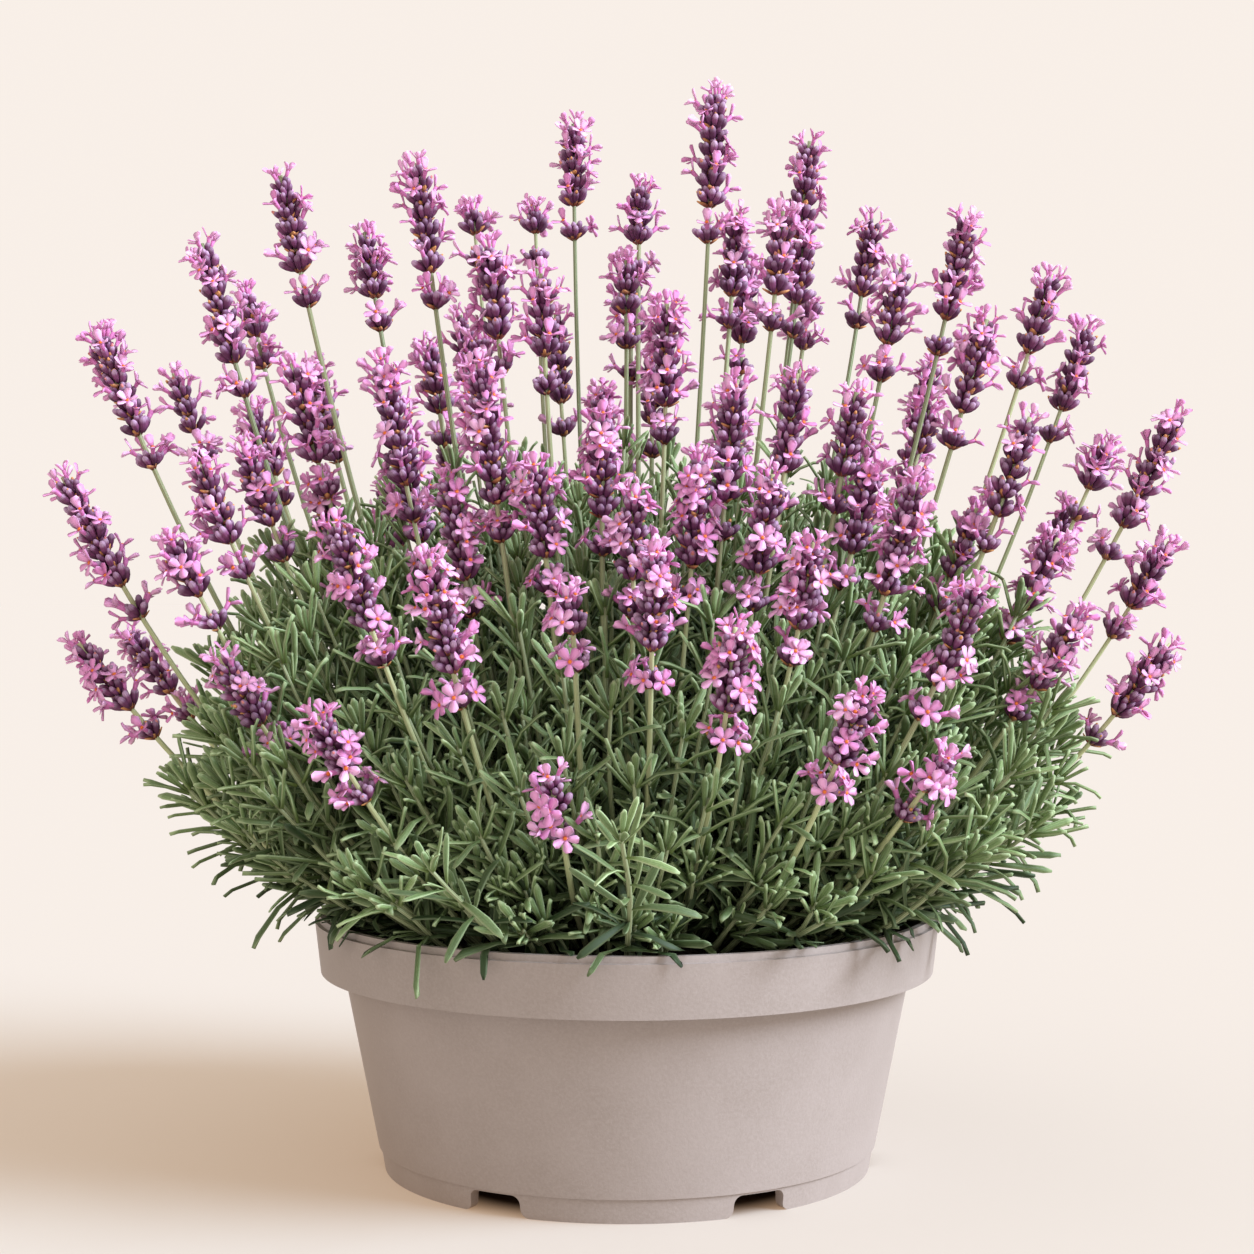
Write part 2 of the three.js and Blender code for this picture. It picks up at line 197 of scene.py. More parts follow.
class Bed:
    """The shapes of one piece, gathered before its mesh is made."""

    def __init__(self, seed):
        self.chance = np.random.default_rng(seed)
        self.points, self.places, self.quads, self.triangles = [], [], [], []
        self.finishes, self.quad_finish, self.triangle_finish = [], [], []
        self.size = 0

    def slot(self, finish):
        """The place of a finish among the piece's materials."""
        if finish not in self.finishes:
            self.finishes.append(finish)
        return self.finishes.index(finish)

    def lay(self, finish, form, points, tones):
        """Adds copies of a form: points holds every copy's own points, tones the cell of each."""
        copies, corners = points.shape[:2]
        low, high = BANDS[finish]
        across, along = form.places.T
        u = (tones[:, None] + TONE_MARGIN + (1 - 2 * TONE_MARGIN) * across[None]) / TONES
        v = np.broadcast_to(low + (high - low) * along[None], u.shape)
        starts = self.size + corners * np.arange(copies)[:, None, None]
        slot = self.slot(finish)
        self.points.append(points.reshape(-1, 3))
        self.places.append(np.stack([u, v], -1).reshape(-1, 2))
        self.quads.append((form.quads[None] + starts).reshape(-1, 4))
        self.triangles.append((form.triangles[None] + starts).reshape(-1, 3))
        self.quad_finish.append(np.full(copies * len(form.quads), slot))
        self.triangle_finish.append(np.full(copies * len(form.triangles), slot))
        self.size += copies * corners

    def scatter(self, finish, form, at, along, facing, size, curl, tones):
        """Lays a form, drawn in mm, at many places. Along is its length, facing its upper side,
        and curl how far it turns towards its upper side in each millimetre."""
        if not len(at):
            return
        x = unit(along)
        z = unit(facing - (facing * x).sum(-1, keepdims=True) * x)
        y = np.cross(z, x)
        local = form.points[None] * np.asarray(size, float).reshape(len(at), 1, -1)
        bend = np.where(np.abs(curl) < 1e-3, 1e-3, curl)[:, None]
        turn = bend * np.maximum(local[..., 0], 0)
        straight = np.minimum(local[..., 0], 0)
        forward = np.sin(turn) / bend - local[..., 2] * np.sin(turn) + straight
        upward = (1 - np.cos(turn)) / bend + local[..., 2] * np.cos(turn)
        moved = forward[..., None] * x[:, None] + local[..., 1, None] * y[:, None]
        moved += upward[..., None] * z[:, None]
        points = at[:, None] + 0.001 * moved
        if finish == "leaf":
            points[..., 2] = rest_on_pot(points)
        self.lay(finish, form, points, np.asarray(tones))

    def mesh(self, name):
        """The gathered shapes as a smooth mesh object."""
        points, places = np.vstack(self.points), np.vstack(self.places)
        quads, triangles = np.vstack(self.quads), np.vstack(self.triangles)
        loops = np.concatenate([quads.ravel(), triangles.ravel()])
        sizes = np.concatenate([np.full(len(quads), 4), np.full(len(triangles), 3)])
        data = bpy.data.meshes.new(name)
        data.vertices.add(len(points))
        data.vertices.foreach_set("co", points.astype(np.float32).ravel())
        data.loops.add(len(loops))
        data.loops.foreach_set("vertex_index", loops.astype(np.int32))
        data.polygons.add(len(sizes))
        data.polygons.foreach_set("loop_start", (np.cumsum(sizes) - sizes).astype(np.int32))
        slots = np.concatenate(self.quad_finish + self.triangle_finish)
        data.polygons.foreach_set("material_index", slots.astype(np.int32))
        data.polygons.foreach_set("use_smooth", np.ones(len(sizes), bool))
        uv = data.uv_layers.new(name=MAP_NAME)
        uv.data.foreach_set("uv", places[loops].astype(np.float32).ravel())
        for finish in self.finishes:
            data.materials.append(finish_named(finish))
        data.update()
        data.validate()
        piece = bpy.data.objects.new(name, data)
        bpy.context.scene.collection.objects.link(piece)
        return piece


# The line of a stem


class StemLine:
    """One stem of the fan, with a little sway, from its foot in the soil to its tip."""

    STEPS = 160

    def __init__(self, azimuth, share, tip_height, chance, sway=0.0012):
        plant = bpy.context.scene.lavender_plant
        angle = math.radians(azimuth)
        outward = np.array([math.sin(angle), -math.cos(angle), 0.0])
        self.side = np.array([math.cos(angle), math.sin(angle), 0.0])
        foot = plant.soil_height - 0.006
        height = np.linspace(foot, tip_height, self.STEPS)
        self.points = fan_reach(share, height)[:, None] * outward + height[:, None] * UP
        t = np.linspace(0, 1, self.STEPS)
        for direction in (self.side, np.cross(self.side, outward)):
            waves, start = chance.uniform(1.0, 2.2), chance.uniform(0, 2 * np.pi)
            self.points += (sway * t * np.sin(waves * np.pi * t + start))[:, None] * direction
        steps = np.linalg.norm(np.diff(self.points, axis=0), axis=1)
        self.distances = np.concatenate([[0], np.cumsum(steps)])
        self.tangents = unit(np.gradient(self.points, axis=0))
        self.length = self.distances[-1]

    def at(self, distance):
        """The points, and the directions of travel, that far along the line."""
        pick = [np.interp(distance, self.distances, self.points[:, k]) for k in range(3)]
        way = [np.interp(distance, self.distances, self.tangents[:, k]) for k in range(3)]
        return np.stack(pick, -1), unit(np.stack(way, -1))

    def round_it(self, distance, angle):
        """The directions square to the line, turned by an angle from its side."""
        points, way = self.at(distance)
        side = np.broadcast_to(self.side, way.shape)
        across = unit(np.cross(way, side))
        return np.cos(angle)[..., None] * side + np.sin(angle)[..., None] * across

    def distance_at(self, height):
        """How far along the line it reaches a height."""
        return float(np.interp(height, self.points[:, 2], self.distances))


def fan_reach(share, height):
    """How far from the axis a stem of that share of the spread stands at a height."""
    plant = bpy.context.scene.lavender_plant
    whole = plant.height - plant.soil_height + plant.fan_depth

    def rise(h):
        part = (h - plant.soil_height + plant.fan_depth) / whole
        return np.maximum(part, 0.01) ** plant.fan_curve

    spread = (rise(height) - rise(plant.soil_height)) / (1 - rise(plant.soil_height))
    return share * (plant.root_ring + (plant.spread - plant.root_ring) * spread)


def stalk(bed, line, start, end, radius, tip_radius, tone):
    """A square stalk with a groove down each side."""
    sides, steps = 8, max(3, int((end - start) / 0.011))
    distance = np.linspace(start, end, steps)
    radii = np.linspace(radius, tip_radius, steps)
    turn = np.broadcast_to(2 * np.pi * np.arange(sides) / sides + 0.4, (steps, sides))
    points, way = line.at(distance)
    grid = np.broadcast_to(distance[:, None], (steps, sides))
    grooved = 1 - 0.16 * (np.arange(sides) % 2)
    rings = points[:, None] + (radii[:, None] * grooved)[..., None] * line.round_it(grid, turn)
    form = loft(rings, there_and_back(sides), np.linspace(0, 1, steps))
    bed.lay("stalk", form, form.points[None], np.array([tone]))


# Leaves

# A creased leaf, and a plainer one for the many in the mound, each 1 long and 1 wide
LEAF = blade(
    1, 1, 0.2, [(0, 0.36), (0.3, 0.74), (0.65, 1), (0.9, 0.82), (1, 0.3)],
    [(-1, -0.1), (-0.55, 0.26), (0, 0.02), (0.55, 0.26), (1, -0.1)],
)
SMALL_LEAF = blade(
    1, 1, 0.5, [(0, 0.4), (0.4, 0.86), (0.84, 1), (1, 0.4)], [(-1, -0.1), (0, 0.34), (1, -0.1)]
)


def grow_leaves(bed, line, distance, angle, lift, length, width, curl, tones, form=LEAF):
    """Leaves at those distances along a line, at those angles round it and lifted off it."""
    points, way = line.at(distance)
    away = line.round_it(distance, angle)
    along = leaning(way, away, lift)
    roll = bed.chance.normal(0, 0.45, len(distance))[:, None]
    facing = way - 0.35 * away + roll * np.cross(way, away)
    size = np.column_stack([length, width, width])
    bed.scatter("leaf", form, points + 0.0008 * away, along, facing, size, curl / length, tones)


def leafy(bed, line, start, end, spacing, size, tip_size, tone, shaggy=0.3, spread=50, form=LEAF):
    """Opposite pairs of leaves along a line, each pair a quarter turn on, with small leaves in
    some of the forks. Sizes are lengths of leaves in mm, shaggy is the share of forks with small
    leaves, and spread is how far the lowest leaves lift off the line, in degrees."""
    chance = bed.chance
    count = max(1, int((end - start) / spacing))
    distance = np.repeat(np.linspace(start, end, count), 2)
    pair = np.repeat(np.arange(count), 2)
    angle = pair * np.pi / 2 + np.tile([0, np.pi], count)
    angle = angle + chance.normal(0, 0.25, 2 * count) + chance.uniform(0, 6)
    t = pair / max(1, count - 1)
    length = (size + (tip_size - size) * t ** 2) * chance.uniform(0.82, 1.15, 2 * count)
    lift = np.radians(chance.normal(spread - 14 * t, 10))
    curl = chance.normal(-0.4, 0.5, 2 * count)
    width = chance.uniform(0.115, 0.15, 2 * count) * (8 + 0.62 * length)
    # Leaves low on a shoot, deep in the mound, take darker tones: their age and painted shade.
    tones = near_tone(chance, tone + 4.4 * (t ** 1.3 - 0.5), 1.1)
    grow_leaves(bed, line, distance, angle, lift, length, width, curl, tones, form)
    forks = chance.random(2 * count) < shaggy
    few = int(forks.sum())
    for nudge in (0.5, -0.5):
        grow_leaves(
            bed, line, distance[forks] + 0.0006, angle[forks] + nudge,
            lift[forks] * chance.uniform(0.5, 0.8, few),
            length[forks] * chance.uniform(0.42, 0.62, few),
            width[forks] * 0.72, chance.normal(-0.1, 0.25, few),
            np.minimum(tones[forks] + 1, TONES - 1), form,
        )


def tip_tuft(bed, line, size, tone, form):
    """The young leaves closing over the tip of a shoot."""
    chance, count = bed.chance, 5
    angle = 2.4 * np.arange(count) + chance.uniform(0, 6)
    lift = np.radians(np.linspace(44, 12, count) + chance.normal(0, 6, count))
    length = np.linspace(size, 0.55 * size, count)
    tones = near_tone(chance, tone + 2, 0.8, count)
    distance = np.linspace(line.length - 0.004, line.length, count)
    width = np.full(count, 0.9 + 0.11 * size)
    curl = np.full(count, 0.12)
    grow_leaves(bed, line, distance, angle, lift, length, width, curl, tones, form)


# Flowers, in mm

CALYX = turned([(0, 0.45), (1.1, 0.95), (2.8, 1.24), (4.4, 1.16), (5.3, 0.75), (5.6, 0.25)], 6)
BUD = turned([(0, 0.4), (0.9, 0.9), (2.2, 0.4)], 6)
BRACT = blade(
    3.6, 2.8, 0.3, [(0, 0.55), (0.35, 1), (0.75, 0.6), (1, 0.1)], [(-1, 0.4), (0, 0), (1, 0.4)]
)
PETAL_OUTLINE = [(0, 0.36), (0.36, 0.72), (0.74, 1), (1, 0.6)]
PETAL_SECTION = [(-1, 0.24), (0, 0), (1, 0.24)]


def make_corolla(mouth, lobes):
    """A flower along +X: a tube that ends at its mouth, the throat, and lobes, each with its angle
    round the tube, its spread from the tube, its length and its width."""
    axis = np.array([1.0, 0, 0])
    tube = turned([(-1.2, 0.55), (mouth, 1.0)], 6)
    tube.places[:, 1] = 0.14 + 0.2 * tube.places[:, 1]
    throat = turned([(mouth - 0.2, 0.85), (mouth + 0.35, 0.5)], 6)
    throat.places[:, 1] = 0.02 + 0.06 * throat.places[:, 1]
    parts = [tube, throat]
    for angle, spread, length, width in lobes:
        turn, lean = math.radians(angle), math.radians(spread)
        radial = np.array([0, math.sin(turn), math.cos(turn)])
        along = math.cos(lean) * axis + math.sin(lean) * radial
        face = math.sin(lean) * axis - math.cos(lean) * radial
        lobe = blade(length, width, 0.4, PETAL_OUTLINE, PETAL_SECTION)
        lobe.places[:, 1] = 0.4 + 0.6 * lobe.places[:, 1]
        x, y, z = lobe.points.T
        root = (mouth - 0.1) * axis + 0.65 * radial
        sideways = np.cross(face, along)
        lobe.points = root + x[:, None] * along + y[:, None] * sideways + z[:, None] * face
        parts.append(lobe)
    return joined(parts)


# Wide open, half open, and two that hold a few lobes up like horns
COROLLAS = [
    make_corolla(2.4, [
        (-35, 72, 4.1, 3.4), (35, 72, 4.1, 3.4),
        (-107, 84, 3.7, 3.1), (107, 84, 3.7, 3.1), (180, 92, 3.9, 3.3),
    ]),
    make_corolla(2.8, [
        (-34, 48, 4.2, 3.2), (34, 48, 4.2, 3.2),
        (-110, 72, 3.6, 2.8), (110, 72, 3.6, 2.8), (180, 84, 3.8, 3.0),
    ]),
    make_corolla(3.3, [(0, 36, 4.5, 3.5), (-138, 56, 4.0, 3.0), (138, 56, 4.0, 3.0)]),
    make_corolla(3.6, [(-86, 38, 4.4, 3.2), (86, 38, 4.4, 3.2), (180, 20, 3.2, 2.6)]),
]
# Which of them grow on a spike in full flower, on one that is just opening, and on a tip
OPEN_KINDS = (0, 0, 0, 1, 2, 3)
SHY_KINDS = (0, 1, 2, 2, 2, 3)
HORN_KINDS = (2, 3)


def whorl(bed, line, distance, count, tilt, size, turn, bloom, kinds, root=0.0012):
    """A ring of flowers at a distance along the line. They tilt off it by some degrees, and a share
    of them, the bloom, is open and of those kinds."""
    chance = bed.chance
    angle = turn + 2 * np.pi * np.arange(count) / count + chance.normal(0, 0.12, count)
    lean = np.radians(tilt + chance.normal(0, 6, count))
    far = np.full(count, distance) + chance.normal(0, 0.0004, count)
    points, way = line.at(far)
    away = line.round_it(far, angle)
    along = leaning(way, away, lean)
    facing = way - 0.3 * away
    grown = size * chance.uniform(0.85, 1.1, count)
    tones = chance.integers(0, TONES, count)
    base = points + root * away
    curl = chance.normal(0.02, 0.02, count)
    bed.scatter("calyx", CALYX, base, along, facing, grown[:, None], curl, tones)
    open_ones = chance.random(count) < bloom
    kind_of = chance.choice(kinds, count)
    mouth = base + (0.0046 * grown)[:, None] * along
    out = leaning(way, away, lean + np.radians(chance.uniform(-4, 14, count)))
    for kind, form in enumerate(COROLLAS):
        pick = open_ones & (kind_of == kind)
        few = int(pick.sum())
        bed.scatter(
            "petal", form, mouth[pick], out[pick], facing[pick],
            (size * chance.uniform(0.88, 1.08, few))[:, None], chance.normal(0.0, 0.02, few),
            chance.integers(0, TONES, few),
        )
    budding = ~open_ones & (chance.random(count) < 0.24)
    few = int(budding.sum())
    tip = base + (0.0044 * grown)[:, None] * along
    bed.scatter(
        "bract", BUD, tip[budding], along[budding], way[budding],
        chance.uniform(0.55, 0.85, few)[:, None], np.zeros(few), chance.integers(0, TONES, few),
    )


def collar(bed, line, distance, size, turn):
    """The pair of dry bracts under a whorl, and the little ones between its flowers."""
    chance = bed.chance
    angle = turn + np.array([0, np.pi, 0.5 * np.pi, 1.5 * np.pi]) + chance.normal(0, 0.2, 4)
    far = np.full(4, distance - 0.0012)
    points, way = line.at(far)
    away = line.round_it(far, angle)
    lean = np.radians(np.array([62, 62, 48, 48]) + chance.normal(0, 7, 4))
    along = leaning(way, away, lean)
    grown = size * np.array([1.0, 1.0, 0.75, 0.75]) * chance.uniform(0.85, 1.1, 4)
    bed.scatter(
        "bract", BRACT, points + 0.0008 * away, along, way, grown[:, None],
        np.full(4, 0.08), chance.integers(0, 4, 4),
    )


def spike(bed, line, start, bloom):
    """A flower spike from that distance to the tip: a whorl standing apart, close whorls above
    it, and a tuft of upright flowers on top."""
    chance = bed.chance
    kinds = OPEN_KINDS if bloom > 0.33 else SHY_KINDS
    top = line.length - 0.0125
    bottom = start + 0.0145
    count = max(1, round((top - bottom) / WHORL_SPACING))
    turn = chance.uniform(0, 6)
    whorl(bed, line, start + 0.001, 8, 46, 1.06, turn, 1.3 * bloom, kinds)
    whorl(bed, line, start + 0.0018, 4, 24, 1.0, turn + 0.4, bloom, kinds, 0.0009)
    collar(bed, line, start + 0.001, 1.0, turn)
    for k in range(count):
        t = k / count
        distance = bottom + (top - bottom) * (1 - (1 - t) ** 1.2)
        size = 1.1 - 0.17 * t
        turn += 0.7
        whorl(bed, line, distance, 9, 43 - 9 * t, size, turn, bloom, kinds, 0.0018)
        inner = distance + 0.0018
        whorl(bed, line, inner, 4, 24 - 5 * t, size * 0.92, turn + 0.35, 0.3 * bloom, kinds, 0.0011)
        collar(bed, line, distance, 1.15 * size, turn)
    whorl(bed, line, top, 6, 30, 0.9, turn + 0.4, 0.3, HORN_KINDS)
    whorl(bed, line, top + 0.0010, 3, 18, 0.88, turn, 1.0, HORN_KINDS, 0.0006)


def flowering_stem(bed, azimuth, share, tip_height, spike_length):
    """A stalk with its leaves below and its flower spike above. Tall stalks are darker, and the
    low stems in front have the most open flowers."""
    chance = bed.chance
    line = StemLine(azimuth, share, tip_height, chance)
    start = line.length - spike_length
    rim = line.distance_at(CLEAR_OF_RIM)
    tone = near_tone(chance, 5.6 - 24 * (tip_height - 0.18), 0.8)
    stalk(bed, line, 0, line.length - 0.006, 0.00125, 0.00085, tone)
    bare = max(rim + 0.012, start - 0.02 - chance.uniform(0.15, 0.4) * (start - rim))
    leafy(bed, line, rim, bare, 0.0105, 14 + 10 * share, 11 + 6 * share, 3.6)
    front = max(0.0, math.cos(math.radians(azimuth)))
    spike(bed, line, start, 0.29 + 0.14 * front * max(0.0, 1.3 - tip_height / 0.3))


def leafy_shoot(
    bed, azimuth, share, tip_height, reach=0.1, tone=3.0, size=23, shaggy=0.3, spread=54,
    form=LEAF, spacing=0.0072,
):
    """A stem without flowers, with leaves on its last stretch, which is as long as its reach."""
    line = StemLine(azimuth, share, tip_height, bed.chance, 0.002)
    start = max(line.distance_at(CLEAR_OF_RIM), line.length - reach)
    stalk(bed, line, 0, line.length, 0.0013, 0.0007, 1)
    end = line.length - 0.003
    leafy(bed, line, start, end, spacing, size, 0.75 * size, tone, shaggy, spread, form)
    tip_tuft(bed, line, 0.65 * size, tone, form)


# Finishes


class Term:
    """A value in a material's nodes that takes part in sums like a number."""

    def __init__(self, finish, socket):
        self.finish = finish
        self.socket = socket

    def reckon(self, operation, *values):
        """The outcome of a Math node."""
        inputs = dict(enumerate(values))
        return self.finish.node("ShaderNodeMath", {"operation": operation}, inputs)

    def __add__(self, other):
        return self.reckon("ADD", self, other)

    def __sub__(self, other):
        return self.reckon("SUBTRACT", self, other)

    def __rsub__(self, other):
        return self.reckon("SUBTRACT", other, self)

    def __mul__(self, other):
        return self.reckon("MULTIPLY", self, other)

    def __truediv__(self, other):
        return self.reckon("DIVIDE", self, other)

    def __abs__(self):
        return self.reckon("ABSOLUTE", self)

    __radd__ = __add__
    __rmul__ = __mul__

    def floor(self):
        return self.reckon("FLOOR", self)

    def fraction(self):
        return self.reckon("FRACT", self)


class Finish:
    """A material while its nodes are made."""

    def __init__(self, name, **constants):
        self.material = bpy.data.materials.new(f"lavender_{name}")
        self.material.use_nodes = True
        self.tree = self.material.node_tree
        self.shader = self.tree.nodes["Principled BSDF"]
        for socket, value in constants.items():
            self.shader.inputs[socket.replace("_", " ")].default_value = value

    def node(self, kind, settings, inputs, output=0):
        """Makes a node: its settings first, then the values or links of its sockets."""
        node = self.tree.nodes.new(kind)
        for name, value in settings.items():
            setattr(node, name, value)
        for socket, value in inputs.items():
            if isinstance(value, Term):
                self.tree.links.new(value.socket, node.inputs[socket])
            else:
                node.inputs[socket].default_value = value
        return Term(self, node.outputs[output])

    def mix(self, factor, first, second):
        """The first colour where the factor is 0, and the second where it is 1."""
        first, second = (c if isinstance(c, Term) else (*c, 1) for c in (first, second))
        inputs = {0: factor, 6: first, 7: second}
        return self.node("ShaderNodeMix", {"data_type": "RGBA"}, inputs, 2)

    def between(self, value, low, high):
        """0 under low, 1 over high, and a smooth step in between."""
        settings = {"interpolation_type": "SMOOTHSTEP"}
        inputs = {"Value": value, "From Min": low, "From Max": high}
        return self.node("ShaderNodeMapRange", settings, inputs)

    def noise(self, vector, scale, detail, roughness=0.5, distortion=0.0):
        inputs = {
            "Vector": vector, "Scale": scale, "Detail": detail, "Roughness": roughness,
            "Distortion": distortion,
        }
        return self.node("ShaderNodeTexNoise", {}, inputs)

    def place(self):
        """A point's place in metres."""
        return self.node("ShaderNodeTexCoord", {}, {}, "Object")

    def map_place(self):
        """A point's place on the map."""
        return self.node("ShaderNodeUVMap", {"uv_map": MAP_NAME}, {})

    def cell(self, band):
        """The tone of the cell, from 0 to 1, and how far across and along it a point lies."""
        inputs = {"Vector": self.map_place()}
        u, v = (self.node("ShaderNodeSeparateXYZ", {}, inputs, axis) for axis in "XY")
        u = u * TONES
        low, high = BANDS[band]
        across = (u.fraction() - TONE_MARGIN) / (1 - 2 * TONE_MARGIN)
        return u.floor() / (TONES - 1), across, (v - low) / (high - low)

    def feed(self, socket, value):
        """Links a value to a socket of the shader."""
        self.tree.links.new(value.socket, self.shader.inputs[socket])

    def bump(self, height, strength, distance):
        inputs = {"Height": height, "Strength": strength, "Distance": distance}
        self.feed("Normal", self.node("ShaderNodeBump", {}, inputs))


def finish_leaf(colours):
    """Grey-green felted leaf with painted shade in its crease and on its darker tones, and pale
    felted edges and tip, the edges with a painted highlight.
    """
    finish = Finish("leaf", Roughness=0.62)
    tone, across, along = finish.cell("leaf")
    edge = abs(across - 0.5) * 2
    # The darker tones stand for old leaves and for painted shade deep in the mound.
    green = finish.mix(tone, colours.old_leaf_and_painted_shade, colours.leaf_pale)
    felt = finish.between(finish.noise(finish.map_place(), 70, 3, 0.6), 0.35, 0.7)
    green = finish.mix(felt * tone * 0.25, green, colours.leaf_felt_and_highlight)
    # Pale edges: felt, with a painted highlight on the rolled rims, stronger on the paler tones.
    rim = finish.between(edge, 0.55, 0.92) * (0.15 + 0.75 * tone)
    green = finish.mix(rim, green, colours.leaf_felt_and_highlight)
    # Painted shade in the crease along the middle of the leaf.
    green = finish.mix((1 - finish.between(edge, 0.0, 0.2)) * 0.3, green, colours.old_leaf_and_painted_shade)
    green = finish.mix((1 - finish.between(along, 0.0, 0.35)) * tone, green, colours.leaf_root)
    green = finish.mix(finish.between(along, 0.84, 1.0) * tone * 0.6, green, colours.leaf_felt_and_highlight)
    finish.feed("Base Color", green)
    return finish.material


def finish_stalk(colours):
    """Ribbed stalk, woody at its foot."""
    finish = Finish("stalk", Roughness=0.6)
    tone, across, along = finish.cell("stalk")
    rib = abs((across * 4).fraction() - 0.5) * 2
    green = finish.mix(tone, colours.stalk_dark, colours.stalk_pale)
    green = finish.mix(finish.between(rib, 0.3, 0.9) * 0.4, green, colours.stalk_rib)
    green = finish.mix(1 - finish.between(along, 0.02, 0.22), green, colours.stalk_wood)
    finish.feed("Base Color", green)
    return finish.material


def finish_calyx(colours):
    """Dusky purple calyx with painted shade at its root and in its grooves, and a greyish felted
    tip with a painted sheen.
    """
    finish = Finish("calyx", Roughness=0.68)
    tone, across, along = finish.cell("calyx")
    rib = abs((across * 4).fraction() - 0.5) * 2
    purple = finish.mix(tone, colours.calyx_deep_and_painted_shade, colours.calyx_warm)
    # Painted shade at the root of the calyx, inside the whorl.
    purple = finish.mix(1 - finish.between(along, 0.1, 0.5), purple, colours.calyx_deep_and_painted_shade)
    # Greyish tip: felt, with a painted sheen.
    tip = finish.between(along, 0.6, 0.88) * (0.3 + 0.6 * tone)
    purple = finish.mix(tip, purple, colours.calyx_felt_and_sheen)
    # Painted shade in the grooves.
    purple = finish.mix(finish.between(rib, 0.4, 0.95) * 0.28, purple, colours.calyx_deep_and_painted_shade)
    finish.feed("Base Color", purple)
    return finish.material


def finish_petal(colours):
    """Pink-lilac petals with a darker midline, pale edges and an orange throat."""
    finish = Finish("petal", Roughness=0.5)
    tone, across, along = finish.cell("petal")
    edge = abs(across - 0.5) * 2
    pink = finish.mix(tone, colours.petal, colours.petal_pale)
    midline = (1 - finish.between(edge, 0.0, 0.35)) * (1 - finish.between(along, 0.45, 0.85))
    pink = finish.mix(midline * 0.5, pink, colours.petal_deep)
    pink = finish.mix(finish.between(edge, 0.6, 1.0) * 0.45, pink, colours.petal_pale)
    pink = finish.mix(1 - finish.between(along, 0.3, 0.44), pink, colours.petal_deep)
    pink = finish.mix(1 - finish.between(along, 0.09, 0.12), pink, colours.throat)
    finish.feed("Base Color", pink)
    return finish.material


def finish_bract(colours):
    """Dry bracts at the low tones and rosy buds at the high ones."""
    finish = Finish("bract", Roughness=0.6)
    tone, across, along = finish.cell("bract")
    dry = finish.mix(finish.between(along, 0.2, 0.9), colours.bract_dark, colours.bract_pale)
    rosy = finish.mix(finish.between(along, 0.1, 0.8), colours.bract_pale, colours.bud)
    finish.feed("Base Color", finish.mix(finish.between(tone, 0.4, 0.55), dry, rosy))
    return finish.material


def finish_pot(colours):
    """Matte moulded plastic with a faint mottle, a fine grain and fine pale curls."""
    finish = Finish("pot")
    place = finish.place()
    grain = finish.noise(place, 900, 3, 0.6)
    cloud = finish.noise(place, 28, 3)
    taupe = finish.mix(finish.between(cloud, 0.3, 0.7), colours.pot_dark, colours.pot_pale)
    speck = finish.between(grain, 0.3, 0.75)
    taupe = finish.mix(speck * 0.45, taupe, colours.pot_speck)
    swirl = finish.noise(place, 210, 1, distortion=2.2)
    curls = 1 - finish.between(abs(swirl - 0.5), 0.0, 0.022)
    taupe = finish.mix(curls * 0.3, taupe, colours.pot_speck)
    finish.feed("Base Color", taupe)
    finish.feed("Roughness", 0.5 + 0.14 * speck)
    finish.bump(grain, 0.25, 0.0003)
    return finish.material


def finish_soil(colours):
    """Dark crumbly soil with paler bits of fibre, and painted shade in the hollows of its bump."""
    finish = Finish("soil", Roughness=0.95)
    place = finish.place()
    crumb = finish.noise(place, 260, 6, 0.7)
    # Where the crumb noise is low, in the hollows of the bump, the colour holds painted shade.
    earth = finish.mix(finish.between(crumb, 0.35, 0.65), colours.soil_hollow_shade, colours.soil_pale)
    finish.feed("Base Color", earth)
    finish.bump(crumb, 0.8, 0.002)
    return finish.material


FINISHES = {
    "leaf": finish_leaf,
    "stalk": finish_stalk,
    "calyx": finish_calyx,
    "petal": finish_petal,
    "bract": finish_bract,
    "pot": finish_pot,
    "soil": finish_soil,
}


def finish_named(name):
    """The finish of that name, made the first time that it is asked for."""
    label = f"lavender_{name}"
    if label not in bpy.data.materials:
        FINISHES[name](bpy.context.scene.lavender_colours)
    return bpy.data.materials[label]


# Settings


def metres(name, description, default):
    return FloatProperty(
        name=name, description=description, default=default, unit="LENGTH", subtype="DISTANCE"
    )


def degrees(name, description, default):
    return FloatProperty(
        name=name, description=description, default=math.radians(default), subtype="ANGLE"
    )


def number(name, description, default):
    return FloatProperty(name=name, description=description, default=default)


def whole(name, description, default):
    return IntProperty(name=name, description=description, default=default, min=0)


def colour(name, description, default):
    return FloatVectorProperty(
        name=name, description=description, default=default, size=3, min=0, soft_max=1,
        subtype="COLOR",
    )


class LAVENDER_PG_pot(bpy.types.PropertyGroup):
    """Sizes of the pot."""

    height: metres("Height", "Height of the pot", 0.094)
    rim_radius: metres("Rim Radius", "Widest radius, at the top of the band", 0.115)
    band_height: metres("Band Height", "Height of the band round the rim", 0.021)
    wall: metres("Wall", "Thickness of the wall", 0.0024)
    floor_height: metres("Floor Height", "Height of the underside of the floor", 0.0085)
    foot_radius: metres("Foot Radius", "Radius of the foot ring", 0.0896)
    notch_width: metres("Notch Width", "Width of a notch in the foot ring", 0.02)
    notch_height: metres("Notch Height", "Height of a notch in the foot ring", 0.0078)
    notch_corner: metres("Notch Corner", "Rounding of a notch, above and below", 0.003)
    hole_radius: metres("Hole Radius", "Radius of a drain hole", 0.005)
    hole_ring: metres("Hole Ring", "How far six of the drain holes stand from the axis", 0.048)
    bevel: metres("Bevel", "Rounding of the edges", 0.0006)
    sides: whole("Sides", "Facets round the pot", 192)


